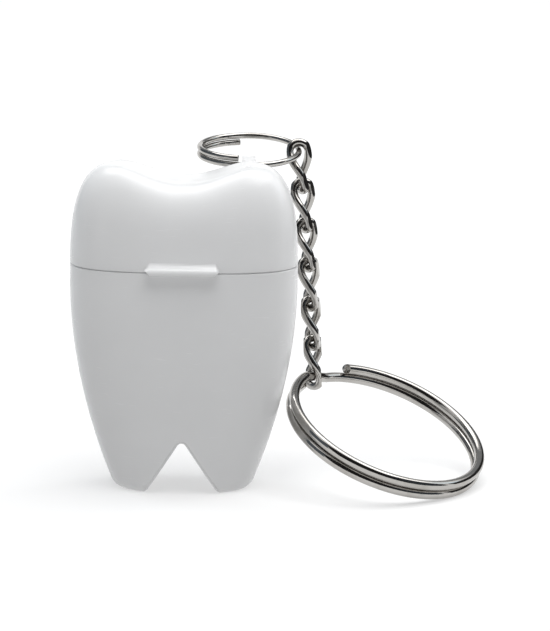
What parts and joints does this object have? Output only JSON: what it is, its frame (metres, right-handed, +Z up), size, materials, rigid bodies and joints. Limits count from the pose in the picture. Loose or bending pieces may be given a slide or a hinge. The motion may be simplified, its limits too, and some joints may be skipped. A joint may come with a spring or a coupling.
{
  "type": "dental floss keychain",
  "caption": "Tooth-shaped floss dispenser with a hinged crown lid, an inner bobbin and cutter, a curb chain and a key ring.",
  "frame": {"origin": "on the surface that the tooth-shaped case stands on, under the middle of the whole part's bounding box", "axes": "+Z up, -Y towards the side with the thumb tab, +X from the case towards the key ring"},
  "size_m": [0.0564, 0.0336, 0.045],
  "materials": {
    "white_plastic": "smooth glossy moulded plastic",
    "insert_plastic": "satin moulded plastic",
    "bobbin_plastic": "satin moulded plastic",
    "waxed_floss": "waxed nylon thread",
    "nickel_steel": "bright nickel plate over steel wire",
    "pin_steel": "drawn steel",
    "blade_steel": "stamped stainless steel"
  },
  "bodies": {
    "case": {"body": "white_plastic", "hinge_pin": "pin_steel", "insert_frame": "insert_plastic", "cutter_blade": "blade_steel"},
    "lid": {"lid": "white_plastic"},
    "bobbin": {"bobbin": "bobbin_plastic", "floss_winding": "waxed_floss"},
    "small_ring": {"small_split_ring": "nickel_steel"},
    "link_1": {"chain_link_1": "nickel_steel"},
    "link_2": {"chain_link_2": "nickel_steel"},
    "link_3": {"chain_link_3": "nickel_steel"},
    "link_4": {"chain_link_4": "nickel_steel"},
    "link_5": {"chain_link_5": "nickel_steel"},
    "link_6": {"chain_link_6": "nickel_steel"},
    "key_ring": {"key_split_ring": "nickel_steel"}
  },
  "joints": [
    {"name": "lid_hinge", "type": "hinge", "parent": "case", "child": "lid", "pos_m": [-0.01297, 0.00303, 0.0307], "axis": [-1, 0, 0], "range_deg": [0, 110]},
    {"name": "bobbin_spin", "type": "hinge", "parent": "case", "child": "bobbin", "pos_m": [-0.01297, -0.00652, 0.0188], "axis": [0, 1, 0], "continuous": true},
    {"name": "small_ring_swing", "type": "hinge", "parent": "lid", "child": "small_ring", "pos_m": [-0.00459, 0.00288, 0.04235], "axis": [-1, 0, 0], "range_deg": [0, 50]},
    {"name": "link_1_swing", "type": "hinge", "parent": "small_ring", "child": "link_1", "pos_m": [0.00223, 0.01, 0.04339], "axis": [0, -0.9965, -0.0837], "range_deg": [0, 30]},
    {"name": "link_2_swing", "type": "hinge", "parent": "link_1", "child": "link_2", "pos_m": [0.00271, 0.00921, 0.0392], "axis": [-0.9835, -0.169, -0.0645], "range_deg": [0, 25]},
    {"name": "link_3_swing", "type": "hinge", "parent": "link_2", "child": "link_3", "pos_m": [0.00335, 0.00797, 0.03266], "axis": [0.5062, -0.837, 0.2078], "range_deg": [0, 25]},
    {"name": "link_4_swing", "type": "hinge", "parent": "link_3", "child": "link_4", "pos_m": [0.00371, 0.00721, 0.0286], "axis": [-0.945, -0.327, -0.0076], "range_deg": [0, 25]},
    {"name": "link_5_swing", "type": "hinge", "parent": "link_4", "child": "link_5", "pos_m": [0.00419, 0.00597, 0.02204], "axis": [0.6541, -0.733, 0.1865], "range_deg": [0, 25]},
    {"name": "link_6_swing", "type": "hinge", "parent": "link_5", "child": "link_6", "pos_m": [0.00446, 0.0052, 0.01797], "axis": [-0.8779, -0.4765, 0.0471], "range_deg": [0, 25]},
    {"name": "key_ring_swing", "type": "hinge", "parent": "link_6", "child": "key_ring", "pos_m": [0.00471, 0.00422, 0.01278], "axis": [-0.6014, -0.7986, -0.0222], "range_deg": [0, 40]}
  ]
}
